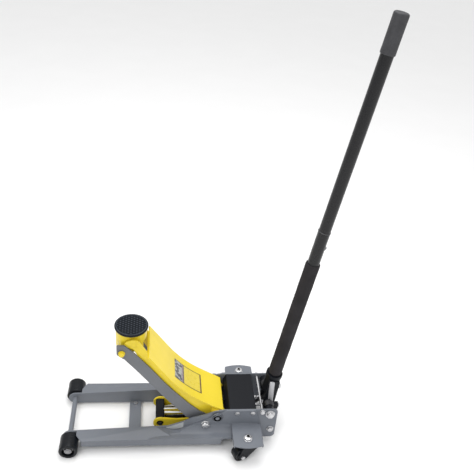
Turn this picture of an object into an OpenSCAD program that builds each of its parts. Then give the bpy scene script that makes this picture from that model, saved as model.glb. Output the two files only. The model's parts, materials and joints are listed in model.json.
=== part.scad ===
// Low-profile trolley jack: long steel frame on rollers and swivel casters, a hydraulic lift
// arm with a saddle that stays level, and a two-piece pump handle.
// X runs from the saddle end to the handle end, Y across the frame, Z up from the floor.

/* [Frame] */
// Diameter of a front roller
roller_d = 64; // [60:1:68]
// Distance between the inner faces of the two side webs
frame_gap = 172; // [168:1:180]
// Thickness of the frame's sheet steel
sheet = 5; // [4:0.5:6]
// Front axle to the rear end of the side webs
frame_l = 735; // [730:1:745]
// Height of the webs at the rear
rear_h = 153; // [150:1:158]
// Height of the flange on top of the front rails
flange_h = 58; // [56:1:60]

/* [Lift arm] */
// Arm pivot, behind the front axle
pivot_x = 517; // [515:1:520]
// Arm pivot, above the floor
pivot_z = 124; // [122:1:126]
// Arm pivot to saddle pivot
arm_l = 424; // [420:1:428]
// Angle of the arm above the horizontal
arm_angle = 45.9; // [45:0.1:47]
// Width of the arm's top cover
cover_w = 160; // [156:1:162]
// Diameter of the saddle
saddle_d = 113; // [108:1:116]

/* [Handle] */
// Handle pivot, behind the front axle
socket_x = 708; // [704:1:712]
// Handle pivot, above the floor
socket_z = 131; // [128:1:134]
// Lean of the handle towards the rear
handle_tilt = 7.8; // [5:0.1:12]
// Handle pivot to the top of the grip
handle_l = 1412; // [1380:1:1430]
// Outer diameter of the lower tube
tube_d = 40; // [38:0.5:41]

/* [Casters] */
// Diameter of a caster wheel
caster_d = 56; // [50:1:58]
// Height of the caster plates
plate_h = 86; // [84:1:90]
// Direction that a caster trails in, away from straight ahead
caster_turn = 20; // [0:1:60]

/* [Hidden] */
$fn = 64;

// running clearance on a pin, and the gap left between neighbours that move apart
fit = 0.05;
gap = 0.5;

// frame, all measured from the front axle
roller_r = roller_d / 2;
web_in = frame_gap / 2;
web_out = web_in + sheet;
web_low = 10;
flange_out = 136;
lip_low = 30;
lip_end = 534;
flange_end = 570;
rail_x = 24;
rail_peak = 300;
rail_end = 372;
axle_r = 9;
roller_in = 95;
roller_out = 161;
nut_recess = 14;

// rise of the web's top edge from the flange to the rear plate
web_top = [[0, 57], [345, 75], [400, 98], [424, 114], [476, 131], [507, 146], [540, rear_h]];
skin_top = [[280, 60], [385, 64], [458, 98], [500, 124], [548, rear_h]];

cover_bolt_x = [588, 644];
cover_bolt_z = 139;

// arm linkage
pivot = [pivot_x, pivot_z];
arm_dir = [-cos(arm_angle), sin(arm_angle)];
saddle_pivot = pivot + arm_l * arm_dir;
level_step = [-41, -33];
level_pin = saddle_pivot + level_step;
anchor_pin = pivot + level_step;
shaft_r = 15;
pin_r = 9;
saddle_x = saddle_pivot.x - 11;
saddle_top = saddle_pivot.y + 44;
pad_t = 4;
dish_t = 5;
stem_r = 15;
cup_top = saddle_top - pad_t - dish_t - 0.2;

// lever below the arm pivot, links and ram
lever_r = 66;
lever_angle = 23.4;
lever_pin = pivot - lever_r * [sin(lever_angle), cos(lever_angle)];
ram_x = 316;
ram_z = 48;
link_rise = 0.7;
yoke_pin_r = 7;
yoke_w = 46;
link_in = 47;
link_out = 53;
link_eye_r = 13.2;
link_eye_out = 25;
rod_r = 17;
cylinder_r = 29;
cylinder_x = 408;
guard_w = 57;

// cover line: two straight stretches joined by a wide bend
cover_front = [272, 398];
cover_bend = [393, 231];
cover_rear = [539, 142];
cover_bend_r = 420;
cover_t = 5;

// plan of the arm's tapering side plates, as half widths at the nose and at the wide part
nose_x = 160;
wide_x = 360;
arm_nose_w = 47;
arm_wide_w = 64;
arm_t = 5;
bar_step = 7;

// handle frame: distance along the handle from its pivot
socket_low = 36;
clamp_s = 52;
lug_s = -28;
socket_high = 118;
sleeve_high = 609;
joint_s = 730;
grip_low = 1301;
tube_r = tube_d / 2;
upper_r = tube_r - 0.8;
tube_wall = 2.3;
sleeve_r = 24.7;
grip_r = 22.2;
grip_round = 4;
button_s = 672;
ear_in = 26;
ear_out = 32;
roller_drop = 30;
pump_roller_r = 10;
plunger_y = 19;
plunger_z = 101;
plunger_r = 5.5;
plunger_gap = 1.3;

// casters
king_x = 623;
king_y = 164;
plate_t = 4;
trail = 26;
caster_r = caster_d / 2;
caster_w = 34;
fork_in = 19.5;
fork_t = 3.5;
bracket_x = 571;
bracket_end = 676;
bracket_out = 202;
bracket_side = 192.5;

// the origin is the middle of the object's box, on the floor
x_low = -roller_r;
x_high = socket_x + (handle_l - grip_round) * sin(handle_tilt)
    + (grip_r - grip_round) * cos(handle_tilt) + grip_round;
x_shift = -(x_low + x_high) / 2;

paint_grey = [0.50, 0.52, 0.55];
paint_yellow = [0.93, 0.82, 0.22];
paint_black = [0.10, 0.11, 0.13];
zinc = [0.72, 0.73, 0.74];
rubber = [0.14, 0.15, 0.17];

// ---- helpers ----

function unit(v) = v / norm(v);

// points of the arc that rounds corner p between a and b with radius r
function corner(a, p, b, r, n) =
    let (u = unit(a - p), w = unit(b - p), half = acos(u * w) / 2,
         c = p + unit(u + w) * (r / sin(half)), s = p + u * (r / tan(half)),
         e = p + w * (r / tan(half)), a0 = atan2(s.y - c.y, s.x - c.x),
         d = (atan2(e.y - c.y, e.x - c.x) - a0 + 540) % 360 - 180)
    [for (i = [0:n]) c + r * [cos(a0 + d * i / n), sin(a0 + d * i / n)]];

// outline through corners [x, z, radius]
function rounded(pts, n = 8) =
    [for (i = [0:len(pts) - 1])
        let (a = pts[(i + len(pts) - 1) % len(pts)], p = pts[i], b = pts[(i + 1) % len(pts)])
        each (p[2] == 0 ? [[p.x, p.y]]
            : corner([a.x, a.y], [p.x, p.y], [b.x, b.y], p[2], n))];

module place() translate([x_shift, 0, 0]) children();

// the left side is at -Y; the right side is its mirror image
module right_side() mirror([0, 1, 0]) children();

// extrudes a side view (x, z) from y0 to y1
module across(y0, y1) translate([0, y1, 0]) rotate([90, 0, 0]) linear_extrude(y1 - y0) children();

module side_sheet(pts, y0, y1) across(y0, y1) polygon(pts);

module pin_y(p, r, y0, y1) across(y0, y1) translate(p) circle(r);

module hex_y(p, flats, y0, y1) across(y0, y1) translate(p) circle(r = flats / 2 / cos(30), $fn = 6);

// puts a child drawn along Z on the handle's axis, with Z = 0 at the handle pivot
module on_handle() translate([socket_x, 0, socket_z]) rotate([0, handle_tilt, 0]) children();

module tube(r, wall, z0, z1) translate([0, 0, z0]) difference() {
    cylinder(r = r, h = z1 - z0);
    translate([0, 0, -1]) cylinder(r = r - wall, h = z1 - z0 + 2);
}

// ---- frame ----

module web() {
    side_sheet(concat([[0, web_low - 1]],
        [for (i = [1:12]) [0, 33] + 24 * [cos(270 - i * 15), sin(270 - i * 15)]],
        [for (i = [1:len(web_top) - 1]) web_top[i]],
        corner([540, rear_h], [frame_l, rear_h], [frame_l, web_low], 14, 8),
        corner([frame_l, rear_h], [frame_l, web_low], [0, web_low], 16, 8)),
        -web_out, -web_in);
}

// everything below the flange's top, lowered by d: it falls from the web to the outer fold
module under_flange(d) {
    peak = lookup(rail_peak, web_top) - d;
    intersection() {
    side_sheet([[rail_x, 0], [rail_x, lookup(rail_x, web_top) - d], [rail_peak, peak],
        [rail_end, flange_h - d], [rail_end, 0]], -flange_out, -web_out + 1);
    translate([rail_x - 1, 0, 0]) rotate([90, 0, 90]) linear_extrude(rail_end - rail_x + 2)
        polygon([[-flange_out - 1, 0], [-flange_out - 1, flange_h - d], [-flange_out + 2, flange_h - d],
            [-web_out, peak], [-web_out + 2, peak], [-web_out + 2, 0]]);
    }
}

module side_rail() place() color(paint_grey) difference() {
    union() {
        web();
        difference() {
            under_flange(0);
            under_flange(4);
        }
        // level flange under the skin, with the outer lip
        translate([rail_end - 1, -flange_out, flange_h - 4])
            cube([flange_end - rail_end + 1, flange_out - web_in - 1, 4]);
        side_sheet(rounded([[44, flange_h, 0], [40, flange_h - 4, 0], [40, lip_low, 3],
            [lip_end, lip_low - 2, 3], [lip_end, flange_h - 12, 0],
            [lip_end + 9, flange_h - 3, 0], [lip_end, flange_h, 0]]), -flange_out, -flange_out + 4);
    }
    pin_y([0, roller_r], axle_r, -web_out - 1, -web_in + 1);
    pin_y(pivot, shaft_r, -web_out - 1, -web_in + 1);
    pin_y(anchor_pin, pin_r, -web_out - 1, -web_in + 1);
    pin_y([socket_x, socket_z], 8, -web_out - 1, -web_in + 1);
    pin_y([679, 142], 5, -web_out - 1, -web_in + 1);
    pin_y([716, 54], 6, -web_out - 1, -web_in + 1);
    for (x = cover_bolt_x) pin_y([x, cover_bolt_z], 3.4, -web_out - 1, -web_in + 1);
    // chamfered front corner of the flange
    translate([24, -flange_out - 1, 20]) linear_extrude(60)
        polygon([[-1, -1], [19, -1], [0, 28], [-1, 28]]);
}

// outer skin: stands against the web, sweeps out through a wide fillet and lies on the flange
module side_skin() {
    t = 4;
    r = 26;
    y0 = -web_out;
    z0 = flange_h;
    place() color(paint_grey) difference() {
        intersection() {
            translate([270, 0, 0]) rotate([90, 0, 90]) linear_extrude(bracket_x - 270) polygon(concat(
                [[y0, z0], [y0, rear_h], [y0 - t, rear_h]],
                [for (i = [0:10]) [y0 - t - r, z0 + t + r] + r * [cos(-9 * i), sin(-9 * i)]],
                [[-flange_out, z0 + t], [-flange_out, z0]]));
            side_sheet(concat([[262, 55]], skin_top, [[bracket_x, rear_h], [bracket_x, 55]]),
                -flange_out - 1, -web_out + 1);
            translate([0, 0, 50]) linear_extrude(120) polygon([[256, -flange_out - 1],
                [280, -108], [385, -web_out - t], [400, -web_out + 1], [bracket_x, -web_out + 1],
                [bracket_x, -flange_out - 1]]);
        }
        pin_y(pivot, shaft_r, -web_out - t - 1, -web_out + 1);
        pin_y(anchor_pin, pin_r, -web_out - t - 1, -web_out + 1);
        pin_y(anchor_pin, 16, -web_out - t - 30, -web_out - t);
        under_flange(0);
    }
}

// round outer end of the caster plate
end_rise = bracket_out - bracket_side;
end_half = (bracket_end - bracket_x) / 2;
end_r = (end_half * end_half + end_rise * end_rise) / (2 * end_rise);
end_sweep = asin(end_half / end_r);
bracket_arc = [for (i = [0:16]) let (a = end_sweep * (1 - i / 8))
    [bracket_x + end_half + end_r * sin(a), end_r - bracket_out - end_r * cos(a)]];

// bent plate that carries the caster: upright part on the web, level part with a rounded end
module caster_bracket() {
    t = plate_t;
    y0 = -web_out;
    place() color(paint_grey) difference() {
        union() {
            side_sheet([[bracket_x, plate_h - t], [bracket_x, rear_h], [654, rear_h],
                [bracket_end, plate_h - t]], y0 - t, y0);
            translate([0, 0, plate_h - t]) linear_extrude(t) polygon(concat([[bracket_x, y0],
                [bracket_end, y0]], bracket_arc));
            // turned-down sides, deep at the web
            for (x = [bracket_x, bracket_end - t])
                translate([x, 0, 0]) rotate([90, 0, 90]) linear_extrude(t) polygon([[y0, 34],
                    [y0, plate_h - 1], [-bracket_side + 1, plate_h - 1], [-bracket_side + 1, plate_h - 12],
                    [-bracket_side + 30, 70], [y0 - 10, 34]]);
        }
        translate([king_x, -king_y, 0]) cylinder(r = 6, h = plate_h + 1);
        for (x = cover_bolt_x) pin_y([x, cover_bolt_z], 3.4, y0 - t - 1, y0 + 1);
    }
}

module front_axle() place() color(paint_grey) pin_y([0, roller_r], axle_r, -roller_out + 2, roller_out - 2);

module front_roller() place() color(rubber) difference() {
    across(-roller_out, -roller_in) translate([0, roller_r]) circle(roller_r, $fn = 96);
    pin_y([0, roller_r], axle_r + fit, -roller_out - 1, -roller_in + 1);
    pin_y([0, roller_r], 21, -roller_out - 1, -roller_out + nut_recess);
    for (y = [-roller_out, -roller_in]) translate([0, y, roller_r]) rotate([90, 0, 0])
        rotate_extrude($fn = 96) polygon([[roller_r - 2, 0], [roller_r + 1, -3], [roller_r + 1, 3]]);
}

module axle_nuts() place() color(zinc) for (s = [0, 1]) mirror([0, s, 0]) difference() {
    union() {
        hex_y([0, roller_r], 24, -roller_out + 1, -roller_out + 10);
        pin_y([0, roller_r], 16, -roller_out + 10, -roller_out + nut_recess - gap);
    }
    pin_y([0, roller_r], axle_r, -roller_out, -roller_out + nut_recess);
}

module axle_washers() place() color(zinc) for (s = [0, 1]) mirror([0, s, 0]) difference() {
    pin_y([0, roller_r], 15, -roller_in + gap, -web_out);
    pin_y([0, roller_r], axle_r, -roller_in, -web_out + 1);
}

module cross_plate() place() color(paint_grey) difference() {
    translate([203, -web_in, web_low]) cube([43, frame_gap, 6]);
    for (s = [-1, 1]) translate([224, s * (web_in - 14), 0]) cylinder(r = 4, h = 40);
}

module cross_plate_bolts() place() color(zinc) for (s = [-1, 1])
    translate([224, s * (web_in - 14), 0]) {
        translate([0, 0, web_low]) cylinder(r = 4, h = 6);
        translate([0, 0, web_low + 6]) cylinder(r = 7.5, h = 5, $fn = 6);
    }

module rear_cross_rod() place() color(zinc) {
    pin_y([679, 142], 5, -web_out - 2, web_out + 2);
    for (s = [0, 1]) mirror([0, s, 0]) hex_y([679, 142], 15, -web_out - 6, -web_out);
}

module rear_tie_bar() place() color(zinc) {
    pin_y([716, 54], 6, -web_out - 2, web_out + 2);
    pin_y([716, 54], 9, -web_in, web_in);
    for (s = [0, 1]) mirror([0, s, 0]) hex_y([716, 54], 18, -web_out - 8, -web_out);
}

// sheet cover over the power unit, with a sloping front apron and side flanges
module top_cover() place() color(paint_black) difference() {
    union() {
        across(-web_in, web_in) polygon([[550, 128], [553, 128], [563, rear_h - 4],
            [656, rear_h - 4], [656, rear_h - 1], [561, rear_h - 1]]);
        for (y = [-web_in, web_in - 3]) translate([0, y, 0])
            side_sheet([[566, 130], [566, rear_h - 2], [656, rear_h - 2], [656, 130]], 0, 3);
    }
    for (x = cover_bolt_x) pin_y([x, cover_bolt_z], 3.4, -web_in - 1, web_in + 1);
}

module cover_bolts() place() color(zinc) for (x = cover_bolt_x, s = [0, 1]) mirror([0, s, 0]) {
    hex_y([x, cover_bolt_z], 12, -web_out - plate_t - 4, -web_out - plate_t);
    pin_y([x, cover_bolt_z], 3.4, -web_out - plate_t - 1, -web_in + 3);
    hex_y([x, cover_bolt_z], 11, -web_in + 3, -web_in + 8);
}

module arm_shaft() place() color(zinc) pin_y(pivot, shaft_r, -web_out - 12, web_out + 12);

module shaft_rings() place() color(zinc) for (s = [0, 1]) mirror([0, s, 0]) difference() {
    pin_y(pivot, 19, -web_out - 9, -web_out - 4);
    pin_y(pivot, shaft_r, -web_out - 10, -web_out);
}

// ---- lift arm ----

cover_line = rounded([[cover_front.x, cover_front.y, 0], [cover_bend.x, cover_bend.y, cover_bend_r],
    [cover_rear.x, cover_rear.y, 0]], 16);
// outward normals of the cover's two straight stretches
front_normal = unit([cover_front.y - cover_bend.y, cover_bend.x - cover_front.x]);
rear_normal = unit([cover_bend.y - cover_rear.y, cover_rear.x - cover_bend.x]);

// the cover line moved down by d
function below_cover(d) = rounded([
    [cover_front.x - d * front_normal.x, cover_front.y - d * front_normal.y, 0],
    [cover_bend.x - d * (front_normal.x + rear_normal.x) / 2,
     cover_bend.y - d * (front_normal.y + rear_normal.y) / 2, cover_bend_r - d],
    [cover_rear.x - d * rear_normal.x, cover_rear.y - d * rear_normal.y, 0]], 16);
function reversed(p) = [for (i = [len(p) - 1:-1:0]) p[i]];

// plan of one tapering plate, outer half width w at the nose and w + the taper where it is wide
module plan_strip(w, t, x1) {
    rise = arm_wide_w - arm_nose_w;
    linear_extrude(600) polygon([[nose_x - 30, -w], [nose_x, -w],
        [wide_x, -w - rise], [x1, -w - rise], [x1, -w - rise + t], [wide_x, -w - rise + t],
        [nose_x, -w + t], [nose_x - 30, -w + t]]);
}

plate_outline = concat(
    [for (i = [0:2]) saddle_pivot + 20 * [cos(262 - i * 14), sin(262 - i * 14)]],
    [saddle_pivot + [-31, -8], saddle_pivot + [-33, 0], saddle_pivot + [-25, 12]],
    [for (i = [0:8]) saddle_pivot + 21 * [cos(126 - i * 11), sin(126 - i * 11)]],
    below_cover(cover_t),
    corner([cover_rear.x, cover_rear.y], [548, 120], [545, 100], 10, 4),
    [for (i = [0:8]) pivot + 26 * [cos(-20 - i * 6), sin(-20 - i * 6)]],
    [for (i = [0:8]) lever_pin + 15 * [cos(-25 - i * 20), sin(-25 - i * 20)]],
    [[430, 82], [340, 184]]);

module lift_arm() place() color(paint_yellow) difference() {
    union() {
        for (s = [0, 1]) mirror([0, s, 0]) {
            intersection() {
                side_sheet(plate_outline, -100, 0);
                plan_strip(arm_nose_w, arm_t, 600);
            }
            pin_y(pivot, 21, -web_in + 1, -arm_wide_w + 12);
            pin_y(lever_pin, 13, -arm_wide_w, -link_out - gap);
        }
        // top plate between the side plates, under the cover
        intersection() {
            side_sheet(concat(below_cover(cover_t), reversed(below_cover(cover_t + 4))), -100, 100);
            linear_extrude(600) polygon([[nose_x, -arm_nose_w + 1], [wide_x, -arm_wide_w + 1],
                [600, -arm_wide_w + 1], [600, arm_wide_w - 1], [wide_x, arm_wide_w - 1],
                [nose_x, arm_nose_w - 1]]);
        }
    }
    pin_y(pivot, shaft_r + fit, -web_out, web_out);
    pin_y(saddle_pivot, pin_r, -70, 70);
    pin_y(lever_pin, 7, -80, 80);
}

module arm_cover() place() color(paint_yellow) intersection() {
    side_sheet(concat(cover_line, reversed(below_cover(cover_t))), -cover_w / 2, cover_w / 2);
    linear_extrude(600) polygon([[200, -cover_w / 2 + 2], [300, -cover_w / 2], [560, -cover_w / 2],
        [560, cover_w / 2], [300, cover_w / 2], [200, cover_w / 2 - 2]]);
}

// levelling bar outside the arm's side plate
bar_outline = rounded(concat(
    [[164, 428, 5], [190, 428, 3], [222, 398, 40], [275, 336, 200], [327, 268, 200], [381, 205, 200],
        [418, 163, 100], [456, 127, 0]],
    [for (i = [0:10]) [anchor_pin.x + 20 * cos(75 - i * 18), anchor_pin.y + 20 * sin(75 - i * 18), 0]],
    [[440, 80, 0], [407, 101, 60], [384, 132, 200], [311, 218, 200], [242, 306, 200], [190, 368, 30],
        [174, 378, 8], [164, 388, 5]]), 5);

module tie_bar() place() color(paint_grey) difference() {
    intersection() {
        side_sheet(bar_outline, -100, 0);
        plan_strip(arm_nose_w + bar_step, arm_t, 600);
    }
    pin_y(anchor_pin, pin_r + fit, -100, 0);
    pin_y(level_pin, pin_r + fit, -100, 0);
}

module tie_bar_bolts() place() color(zinc) for (s = [0, 1]) mirror([0, s, 0]) {
    pin_y(anchor_pin, pin_r, -web_out - 8, -arm_wide_w - 1);
    pin_y(anchor_pin, 14, -web_in, -arm_wide_w - bar_step - gap);
    pin_y(anchor_pin, 15, -web_out - 7, -web_out - 4);
    hex_y(anchor_pin, 24, -web_out - 15, -web_out - 7);
}

// ---- saddle ----

module saddle_bracket() place() color(paint_yellow) difference() {
    intersection() {
        side_sheet(concat(
            [[saddle_x - 52, cup_top], [saddle_x - 52, level_pin.y]],
            [for (i = [0:8]) level_pin + 20 * [cos(180 + i * 14), sin(180 + i * 14)]],
            [[saddle_x + 36, saddle_pivot.y - 30], [saddle_x + 46, saddle_pivot.y - 14],
             [saddle_x + 52, saddle_pivot.y + 12], [saddle_x + 52, cup_top]]), -41, 41);
        translate([saddle_x, 0, 0]) cylinder(r = 52, h = 600, $fn = 96);
    }
    // open underneath, behind the front wall
    translate([saddle_x - 42, -32, 0]) cube([120, 64, saddle_pivot.y + 2]);
    translate([saddle_x, 0, 0]) cylinder(r = stem_r + fit, h = 600);
    pin_y(saddle_pivot, pin_r + fit, -50, 50);
    pin_y(level_pin, pin_r, -50, 50);
}

module saddle_pin() place() color(paint_yellow)
    pin_y(saddle_pivot, pin_r, -arm_nose_w - 5, arm_nose_w + 5);

module level_bolts() place() color(paint_yellow) for (s = [0, 1]) mirror([0, s, 0]) {
    y1 = -arm_nose_w - bar_step - 3;
    pin_y(level_pin, pin_r, y1 - 2, -33);
    pin_y(level_pin, 11.5, y1 - 2, y1);
    hex_y(level_pin, 17, y1 - 9, y1 - 2);
}

module saddle() place() color(paint_black) {
    top = saddle_top - pad_t;
    translate([saddle_x, 0, 0]) {
        translate([0, 0, top - dish_t]) rotate_extrude($fn = 96) polygon([[0, 0], [saddle_d / 2 - 3, 0],
            [saddle_d / 2, 3], [saddle_d / 2, dish_t + 3], [saddle_d / 2 - 3, dish_t + 3],
            [saddle_d / 2 - 3, dish_t], [0, dish_t]]);
        translate([0, 0, saddle_pivot.y + 11]) cylinder(r = stem_r, h = top - saddle_pivot.y - 12);
    }
}

module saddle_pad() place() color(rubber) translate([saddle_x, 0, saddle_top - pad_t])
    cylinder(r = saddle_d / 2 - 3, h = pad_t, $fn = 96);

// ---- ram ----

module ram_yoke() place() color(paint_black) difference() {
    across(-yoke_w, yoke_w) polygon(rounded([[ram_x - 16, ram_z - 19, 6], [ram_x + 16, ram_z - 19, 6],
        [ram_x + 16, ram_z + 19, 6], [ram_x - 16, ram_z + 19, 6]], 4));
    for (s = [0, 1]) mirror([0, s, 0]) pin_y([ram_x, ram_z], yoke_pin_r, -yoke_w - 1, -20);
    translate([ram_x - 4, 0, ram_z]) rotate([0, 90, 0]) cylinder(r = rod_r, h = 30);
}

module yoke_pins() place() color(zinc) for (s = [0, 1]) mirror([0, s, 0]) {
    pin_y([ram_x, ram_z], yoke_pin_r, -link_out - 2, -20);
    pin_y([ram_x, ram_z], yoke_pin_r + 2, -link_out - 2.5, -link_out - gap);
}

module ram_rod() place() color(zinc) translate([ram_x - 4, 0, ram_z]) rotate([0, 90, 0]) {
    cylinder(r = rod_r, h = 150);
    translate([0, 0, 150]) cylinder(r = cylinder_r - 6 - 0.5, h = 14);
}

// eye loosely round the yoke pin, tapering back to the pin on the arm's lever
module ram_link() place() color(paint_yellow) {
    eye = [ram_x, ram_z + link_rise];
    dir = unit(lever_pin - eye);
    side = [-dir.y, dir.x];
    difference() {
        side_sheet(concat(
            [for (i = [0:16]) let (a = 85 + i * 190 / 16 + atan2(dir.y, dir.x))
                eye + link_eye_out * [cos(a), sin(a)]],
            [eye + 60 * dir - 13 * side],
            [for (i = [0:10]) let (a = 270 + i * 18 + atan2(dir.y, dir.x)) lever_pin + 12 * [cos(a), sin(a)]],
            [eye + 60 * dir + 13 * side]), -link_out, -link_in);
        pin_y(eye, link_eye_r, -60, 0);
        pin_y(lever_pin, 7 + fit, -60, 0);
    }
}

module link_pins() place() color(zinc) for (s = [0, 1]) mirror([0, s, 0]) {
    pin_y(lever_pin, 7, -arm_wide_w, -link_in + gap);
    pin_y(lever_pin, 10, -link_in + gap, -link_in + 2.5);
}

// ---- power unit ----

module ram_cylinder() place() color(paint_black) translate([cylinder_x, 0, ram_z]) rotate([0, 90, 0])
    difference() {
        cylinder(r = cylinder_r, h = 577 - cylinder_x);
        translate([0, 0, 10]) cylinder(r = cylinder_r - 6, h = 160);
        translate([0, 0, -1]) cylinder(r = rod_r + fit, h = 20);
    }

module power_unit() place() color(paint_black) difference() {
    union() {
        across(-44, 44) polygon(rounded([[577, 18, 4], [652, 18, 4], [652, 92, 4], [630, 118, 4],
            [577, 118, 4]], 4));
        for (s = [-1, 1]) translate([648, s * plunger_y, plunger_z]) rotate([0, 90, 0])
            cylinder(r = 9, h = 7);
        for (s = [0, 1]) mirror([0, s, 0])
            across(-web_in, -43) polygon([[590, 40], [640, 40], [640, 70], [590, 70]]);
    }
    for (s = [-1, 1]) translate([600, s * plunger_y, plunger_z]) rotate([0, 90, 0])
        cylinder(r = plunger_r + fit, h = 90);
    spindle_hole(6 + fit);
}

// guard plate below the ram, hung from the cylinder by a rib
module ram_guard() place() color(paint_black) difference() {
    union() {
        translate([322, -guard_w, 11.5]) cube([164, 2 * guard_w, 3]);
        translate([420, -12, 13.5]) cube([66, 24, 10.5]);
    }
    translate([400, 0, ram_z]) rotate([0, 90, 0]) cylinder(r = cylinder_r, h = 100);
}

// oil tank round the back of the cylinder
module reservoir() place() color(paint_black) translate([488, 0, ram_z]) rotate([0, 90, 0]) difference() {
    cylinder(r = 40, h = 88);
    translate([0, 0, -1]) cylinder(r = cylinder_r, h = 100);
}

spindle_angle = 50;
module along_spindle() translate([socket_x, 0, socket_z]) rotate([0, 180 + spindle_angle, 0]) children();
module spindle_hole(r) along_spindle() translate([0, 0, 60]) cylinder(r = r, h = 36);

module pump_plungers() place() color(zinc) {
    face = socket_x - roller_drop * sin(handle_tilt) - pump_roller_r - plunger_gap;
    for (s = [-1, 1]) translate([0, s * plunger_y, plunger_z]) rotate([0, 90, 0]) {
        translate([0, 0, 640]) cylinder(r = plunger_r, h = face - 5 - 640);
        translate([0, 0, face - 6]) cylinder(r = plunger_r + 1, h = 6);
    }
}

module release_spindle() place() color(zinc) {
    along_spindle() translate([0, 0, 6]) cylinder(r = 6, h = 80);
    translate([socket_x, 0, socket_z]) sphere(r = 9);
}

// ---- handle ----

module release_shaft() place() color(zinc) on_handle() difference() {
    union() {
        cylinder(r = 12, h = 20);
        translate([0, 0, 18]) cylinder(r = 8, h = 50);
        translate([0, 0, socket_low + 6]) cylinder(r = tube_r - tube_wall, h = 8);
    }
    sphere(r = 9.5);
    translate([0, 0, -1]) cylinder(r1 = 30, r2 = 9, h = 8);
}

// yoke between the side webs, with the tube that the handle stands in
module handle_socket() place() color(paint_black) on_handle() difference() {
    union() {
        translate([0, 0, socket_low]) cylinder(r = 28, h = socket_high - socket_low);
        translate([0, 0, socket_high - 12]) cylinder(r = 30, h = 12);
        for (s = [0, 1]) mirror([0, s, 0]) {
            across(-ear_out, -ear_in) polygon(rounded([[-13, -roller_drop - 12, 10],
                [22, -roller_drop - 12, 6], [24, 10, 6], [20, 102, 4], [-20, 102, 4], [-16, 10, 6]], 6));
            across(-web_in + 2, -ear_in) circle(15);
        }
        translate([22, 0, clamp_s]) rotate([0, 90, 0]) cylinder(r = 9, h = 10);
        // lug behind the left ear
        translate([13, -ear_in - 3, lug_s - 10]) cube([33, ear_in - 7, 20]);
    }
    translate([0, 0, socket_low - 30]) cylinder(r = 19, h = 36);
    translate([0, 0, socket_low + 6]) cylinder(r = tube_r + fit, h = 90);
    across(-web_in, web_in) circle(8 + fit);
    across(-40, 40) translate([0, -roller_drop]) circle(4);
    translate([18, 0, clamp_s]) rotate([0, 90, 0]) cylinder(r = 5, h = 30);
    translate([24, -16, lug_s]) rotate([0, 90, 0]) cylinder(r = 4, h = 30);
}

module socket_bolts() place() color(zinc) for (s = [0, 1]) mirror([0, s, 0]) {
    pin_y([socket_x, socket_z], 8, -web_out - 14, -ear_in - 1);
    hex_y([socket_x, socket_z], 22, -web_out - 12, -web_out - 3);
    pin_y([socket_x, socket_z], 17, -web_out - 3, -web_out);
}

module pump_rollers() place() color(zinc) on_handle() for (s = [0, 1]) mirror([0, s, 0]) {
    across(-ear_out, -14) translate([0, -roller_drop]) circle(4);
    across(-ear_in + gap, -14) translate([0, -roller_drop]) circle(pump_roller_r);
}

module clamp_bolt() place() color(zinc) on_handle() {
    translate([0, 0, clamp_s]) rotate([0, 90, 0]) {
        translate([0, 0, tube_r + gap]) cylinder(r = 5, h = 18);
        translate([0, 0, 32]) cylinder(r = 9, h = 7, $fn = 6);
    }
    translate([0, -16, lug_s]) rotate([0, 90, 0]) {
        translate([0, 0, 24]) cylinder(r = 4, h = 26);
        translate([0, 0, 46]) cylinder(r = 8, h = 6, $fn = 6);
    }
}

module lower_tube() place() color(paint_black) on_handle() difference() {
    tube(tube_r, tube_wall, socket_low + 6, joint_s);
    translate([0, 0, button_s]) rotate([0, 90, 0]) cylinder(r = 5 + 0.2, h = 40);
}

module handle_sleeve() place() color(rubber) on_handle()
    tube(sleeve_r, sleeve_r - tube_r, socket_high + 1, sleeve_high);

module joint_collar() place() color(zinc) on_handle() difference() {
    translate([0, 0, joint_s]) cylinder(r = tube_r + 0.8, h = 4);
    translate([0, 0, joint_s - 1]) cylinder(r = tube_r - tube_wall - 0.1, h = 6);
}

module snap_button() place() color(zinc) on_handle() translate([0, 0, button_s]) rotate([0, 90, 0]) {
    translate([0, 0, 10]) cylinder(r = 5, h = tube_r - 7);
    translate([0, 0, tube_r + 3]) sphere(r = 5);
}

module upper_tube() place() color(paint_black) on_handle() difference() {
    union() {
        tube(upper_r, tube_wall, joint_s + 4, handle_l - 4);
        tube(tube_r - tube_wall - 0.1, 2.5, button_s - 40, joint_s + 8);
    }
    translate([0, 0, button_s]) rotate([0, 90, 0]) cylinder(r = 5 + 0.2, h = 40);
}

module handle_grip() place() color(rubber) on_handle() difference() {
    translate([0, 0, grip_low]) rotate_extrude() polygon(concat([[0, 0], [grip_r - 1, 0], [grip_r, 2]],
        corner([grip_r, 2], [grip_r, handle_l - grip_low], [0, handle_l - grip_low], grip_round, 6),
        [[0, handle_l - grip_low]]));
    translate([0, 0, grip_low - 1]) cylinder(r = upper_r, h = handle_l - 3 - grip_low);
}

// ---- casters ----

module king_pins() place() color(zinc) for (s = [-1, 1]) translate([king_x, s * king_y, 0]) {
    translate([0, 0, 67]) cylinder(r = 6, h = plate_h + 16 - 67);
    translate([0, 0, plate_h]) cylinder(r = 15, h = 3);
    translate([0, 0, plate_h + 3]) cylinder(r = 12.5, h = 9, $fn = 6);
    translate([0, 0, 66]) cylinder(r = 9.5, h = 3.5);
}

// children are drawn with the caster trailing along -X from its king pin
module at_caster() translate([king_x, -king_y, 0]) rotate([0, 0, caster_turn]) children();

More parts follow.
